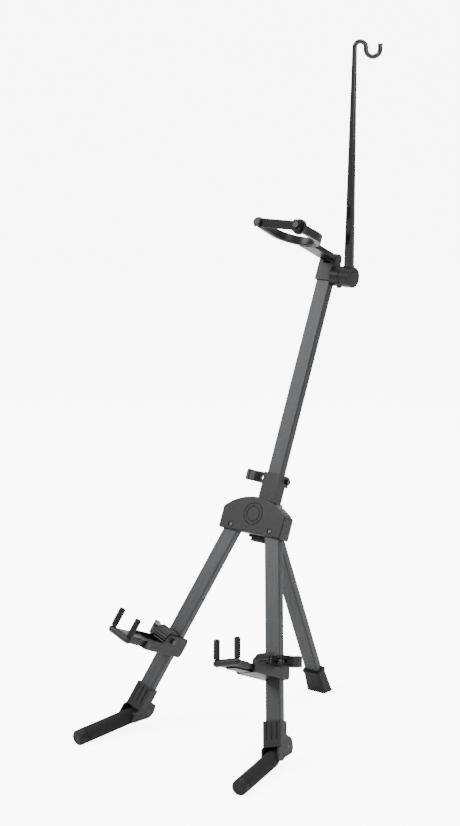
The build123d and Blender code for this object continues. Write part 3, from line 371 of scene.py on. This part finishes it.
# ---------------------------------------------------------------- feet
FOOT_PIVOT_DOWN = 248.0  # below the leg pivot
FOOT_PIVOT_BACK = 15.0
FOOT_DROP = 29.4  # degrees
FOOT_OFFSET = 5.2  # foot axis below its pivot
CORE_RADIUS = 5.5
GRIP_RADIUS = 9.3
GRIP_START = 21.0  # along the foot from its pivot
GRIP_END = 92.0
TOE_END = 102.0
TOE_ROUND = 4.0
GROOVE_DEPTH = 0.4


def groove(start):
    """A V groove round the grip or the toe, as profile points."""
    return [
        (GRIP_RADIUS, start),
        (GRIP_RADIUS - GROOVE_DEPTH, start + GROOVE_DEPTH),
        (GRIP_RADIUS, start + 2 * GROOVE_DEPTH),
    ]


GRIP_PROFILE = [
    (CORE_RADIUS, GRIP_START + 0.2),
    (GRIP_RADIUS - 1.1, GRIP_START),
    (GRIP_RADIUS - 0.3, GRIP_START + 0.4),
    (GRIP_RADIUS, GRIP_START + 1.4),
    *groove(GRIP_START + 3.6),
    *groove(GRIP_END - 3.2),
    (GRIP_RADIUS, GRIP_END - 0.8),
    (GRIP_RADIUS - 0.3, GRIP_END - 0.2),
    (CORE_RADIUS, GRIP_END - 0.1),
]
TOE_PROFILE = [
    (CORE_RADIUS, GRIP_END),
    (GRIP_RADIUS - 0.5, GRIP_END),
    (GRIP_RADIUS, GRIP_END + 0.5),
    *groove(GRIP_END + 2.4),
    *round_corner((GRIP_RADIUS - TOE_ROUND, TOE_END - TOE_ROUND), TOE_ROUND, 0, 90, 10),
    # a shallow dimple in the toe's end
    (4.6, TOE_END - 0.1),
    (4.2, TOE_END - 0.5),
    (0.2, TOE_END - 0.6),
]

for side_name, side in SIDES.items():
    pivot = leg_matrix(side) @ shift(0, -FOOT_PIVOT_DOWN, -FOOT_PIVOT_BACK)
    foot = pivot @ turn(FOOT_DROP, "X") @ shift(0, -FOOT_OFFSET, 0)
    grip = lathe(f"{side_name}_grip", GRIP_PROFILE, foot, FOAM, f"{side_name}_foot")
    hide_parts(f"{side_name}_foot_grip")
    toe = lathe(f"{side_name}_toe", TOE_PROFILE, foot, RUBBER, f"{side_name}_foot")
    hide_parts(f"{side_name}_toe_cap")

# ---------------------------------------------------------------- arms
# seen from the side: x runs forward from the leg's front face and y up from the leg pivot
ARM_BACK = -17.0
ARM_FRONT = 56.0
ARM_TOP = -148.0
ARM_BOTTOM = -173.0
BAR_TOP = -160.0  # the arm is lower ahead of the clamp
STEP_FRONT = 22.0
STEP_ROUND = 6.0
HEEL_ROUND = 5.0
TOE_CORNER = 3.5
TOP_CORNER = 3.0
CHEEK_IN = 10.3
CHEEK_OUT = 13.0
CROSS_HALF = CHEEK_IN + 0.3  # cross pieces reach a little into the cheeks
TUBE_DEPTH = 10.0
FACE_GAP = 0.4
CHEEK = [
    *round_corner((ARM_BACK + STEP_ROUND, ARM_TOP - STEP_ROUND), STEP_ROUND, 90, 180),
    *round_corner((ARM_BACK + HEEL_ROUND, ARM_BOTTOM + HEEL_ROUND), HEEL_ROUND, 180, 270),
    *round_corner((ARM_FRONT - TOE_CORNER, ARM_BOTTOM + TOE_CORNER), TOE_CORNER, 270, 360),
    *round_corner((ARM_FRONT - TOP_CORNER, BAR_TOP - TOP_CORNER), TOP_CORNER, 0, 90),
    *round_corner((STEP_FRONT + STEP_ROUND, BAR_TOP + STEP_ROUND), STEP_ROUND, 270, 180),
    *round_corner((STEP_FRONT - STEP_ROUND, ARM_TOP - STEP_ROUND), STEP_ROUND, 0, 90),
]
WEB = box_outline(FACE_GAP, ARM_BOTTOM + 0.1, ARM_FRONT - 1.0, ARM_BOTTOM + 2.2)
BACK = box_outline(ARM_BACK + 0.8, ARM_BOTTOM + 0.6, -TUBE_DEPTH - FACE_GAP, ARM_TOP - 1.5)

# the lip, seen from below: x across the leg and y forward
LIP_HALF = 6.5
LIP_START = 54.0
LIP_END = 88.0
LIP_ROUND = 4.0
LIP_TOP = 171.0  # below the leg pivot
LIP_BOTTOM = 172.4
LIP = [
    (-LIP_HALF, LIP_START),
    *round_corner((LIP_ROUND - LIP_HALF, LIP_END - LIP_ROUND), LIP_ROUND, 180, 90),
    *round_corner((LIP_HALF - LIP_ROUND, LIP_END - LIP_ROUND), LIP_ROUND, 90, 0),
    (LIP_HALF, LIP_START),
]

ARM_RIBS = 3
ARM_RIB_START = 29.0
ARM_RIB_PITCH = 6.0
ARM_RIB_THICK = 1.4
ARM_RIB_BOTTOM = ARM_BOTTOM + 2.0
ARM_RIB_TOP = BAR_TOP - 4.0

TOOTH_COUNT = 20
TOOTH_PITCH = 360 / TOOTH_COUNT
ROLLER_ROOT = 10.6
ROLLER_TIP = 11.3
ROLLER_HALF = 10.1
# angle in degrees from a tooth's start, and radius
TOOTH = ((0, ROLLER_ROOT), (4, ROLLER_TIP), (10, ROLLER_TIP), (14, ROLLER_ROOT))


def roller_outline():
    """The ribbed roller round the clamp bolt."""
    outline = []
    for tooth in range(TOOTH_COUNT):
        for angle, radius in TOOTH:
            at = math.radians(TOOTH_PITCH * tooth + angle)
            outline.append((CLAMP_FORWARD + radius * math.cos(at), radius * math.sin(at) - CLAMP_DOWN))
    return outline


for side_name, side in SIDES.items():
    body = f"{side_name}_arm"
    across = leg_matrix(side) @ turn(-90, "Y")
    from_below = leg_matrix(side) @ turn(90, "X")
    for label, inner, outer in (("near", CHEEK_IN, CHEEK_OUT), ("far", -CHEEK_OUT, -CHEEK_IN)):
        plate = prism(f"{side_name}_cheek_{label}", CHEEK, inner, outer, across, PLASTIC, body, 0.8)
        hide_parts(f"{side_name}_arm_bracket")
    prism(f"{side_name}_web", WEB, -CROSS_HALF, CROSS_HALF, across, PLASTIC, body, 0.3)
    prism(f"{side_name}_back", BACK, -CROSS_HALF, CROSS_HALF, across, PLASTIC, body, 0.6)
    prism(f"{side_name}_lip", LIP, LIP_TOP, LIP_BOTTOM, from_below, PLASTIC, body, 0.4)
    for rib in range(ARM_RIBS):
        start = ARM_RIB_START + ARM_RIB_PITCH * rib
        bar = box_outline(start, ARM_RIB_BOTTOM, start + ARM_RIB_THICK, ARM_RIB_TOP)
        prism(f"{side_name}_rib_{rib}", bar, -CHEEK_IN, CHEEK_IN, across, BLACK, body, 0.2)
    roller = prism(f"{side_name}_roller", roller_outline(), -ROLLER_HALF, ROLLER_HALF,
                   across, BLACK, body, 0.2)
    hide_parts(f"{side_name}_arm_roller")

# ---------------------------------------------------------------- hub trim and bow barrel
EMBLEM_UP = 17.0  # centre of the plain rings above the leg pivots
EMBLEM_BASE = 4.55  # ahead of the legs' front faces
EMBLEM_TOP = 4.75
for ring, radius in (("outer", 13.0), ("inner", 9.0)):
    profile = [
        (radius - 0.35, EMBLEM_BASE),
        (radius - 0.2, EMBLEM_TOP),
        (radius + 0.2, EMBLEM_TOP),
        (radius + 0.35, EMBLEM_BASE),
    ]
    lathe(f"emblem_{ring}", profile, HUB_MATRIX @ shift(0, EMBLEM_UP, 0), BLACK, "hub", 72)

BARREL_UP = 321.0
MAST_MIDDLE = -21.1  # behind the legs' front faces
COVER_RADIUS = 9.3
COVER_START = 37.9  # from the middle plane
COVER_FACE = 39.4
# a chamfered disc with a fine groove round its face
COVER_PROFILE = [
    (COVER_RADIUS, COVER_START),
    (COVER_RADIUS, COVER_FACE - 0.3),
    (COVER_RADIUS - 0.4, COVER_FACE),
    (7.2, COVER_FACE),
    (6.9, COVER_FACE - 0.4),
    (6.5, COVER_FACE - 0.4),
    (6.2, COVER_FACE),
    (0.2, COVER_FACE),
]
barrel = HUB_MATRIX @ shift(0, BARREL_UP, MAST_MIDDLE) @ ALONG_X
cover = lathe("barrel_cover", COVER_PROFILE, barrel, PLASTIC, "bow_rest", 72)
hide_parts("bow_holder_cover")


# ---------------------------------------------------------------- floor, light and camera
BACKDROP_GLOW = 6.5
GROUND_TONE = 0.96
CAMERA_AZIMUTH = math.radians(37.57)


def pale(name, value):
    """A plain pale ground with faint mottling."""
    finish = Finish(name, specular=0.2)
    cloud = finish.noise(1.5)
    finish.tone(cloud, grey(value * 0.985), grey(value))
    finish.roughness(cloud, 0.7, 0.8)
    # glows in the camera's rays alone, so that it looks nearly white without lighting the stand
    camera_ray = finish.tree.nodes.new("ShaderNodeLightPath").outputs["Is Camera Ray"]
    glow = finish.tree.nodes.new("ShaderNodeMath")
    glow.operation = "MULTIPLY"
    glow.inputs[1].default_value = BACKDROP_GLOW
    finish.link(camera_ray, glow, 0)
    finish.shader.inputs["Emission Color"].default_value = (1, 1, 1, 1)
    finish.link(glow.outputs["Value"], finish.shader, "Emission Strength")
    return finish.material


def sweep(half, rise, bend, steps=24):
    """A ground plane that curves up into a backdrop behind the stand, in metres."""
    profile = [(-half, 0.0)]
    for step in range(steps + 1):
        angle = math.radians(90) * step / steps
        profile.append((half + bend * math.sin(angle), bend * (1 - math.cos(angle))))
    profile.append((half + bend, rise))
    points = [(x, y, z) for y, z in profile for x in (-half * 2, half * 2)]
    faces = [(2 * i, 2 * i + 1, 2 * i + 3, 2 * i + 2) for i in range(len(profile) - 1)]
    mesh = bpy.data.meshes.new("ground")
    mesh.from_pydata(points, [], faces)
    for polygon in mesh.polygons:
        polygon.use_smooth = True
    ground = bpy.data.objects.new("ground", mesh)
    ground.data.materials.append(pale("ground_paper", GROUND_TONE))
    bpy.context.collection.objects.link(ground)
    return ground


ground = sweep(half=4.0, rise=6.0, bend=2.0)
ground.rotation_euler = (0, 0, CAMERA_AZIMUTH)


def area_light(name, place, target, width, height, power):
    """A rectangular light in metres and watts, turned towards a target."""
    light = bpy.data.lights.new(name, "AREA")
    light.shape = "RECTANGLE"
    light.size = width
    light.size_y = height
    light.energy = power
    holder = bpy.data.objects.new(name, light)
    holder.location = place
    holder.rotation_euler = (Vector(target) - Vector(place)).to_track_quat("-Z", "Y").to_euler()
    bpy.context.collection.objects.link(holder)


CENTRE = (0, 0, 0.4)
WORLD_STRENGTH = 1.05
area_light("key", (-1.6, -2.2, 2.4), CENTRE, 1.6, 1.6, 170)
area_light("fill", (2.6, -1.2, 1.4), CENTRE, 1.4, 1.8, 60)
area_light("top", (0.2, 0.4, 3.2), CENTRE, 3.0, 3.0, 260)

world = bpy.data.worlds.new("studio")
world.use_nodes = True
world.node_tree.nodes["Background"].inputs["Color"].default_value = (1, 1, 1, 1)
world.node_tree.nodes["Background"].inputs["Strength"].default_value = WORLD_STRENGTH
bpy.context.scene.world = world

CAMERA_PLACE = Vector((1.29448, -1.71761, 0.85055))
CAMERA_BACK = Vector((0.5959, -0.7746, 0.2118))
SENSOR_WIDTH = 36.0  # millimetres, as the lens
LENS = 82.54
camera = bpy.data.cameras.new("camera")
camera.sensor_width = SENSOR_WIDTH
camera.sensor_fit = "AUTO"
camera.lens = LENS
camera_holder = bpy.data.objects.new("camera", camera)
camera_holder.location = CAMERA_PLACE
camera_holder.rotation_euler = (-CAMERA_BACK).to_track_quat("-Z", "Y").to_euler()
bpy.context.collection.objects.link(camera_holder)
bpy.context.scene.camera = camera_holder
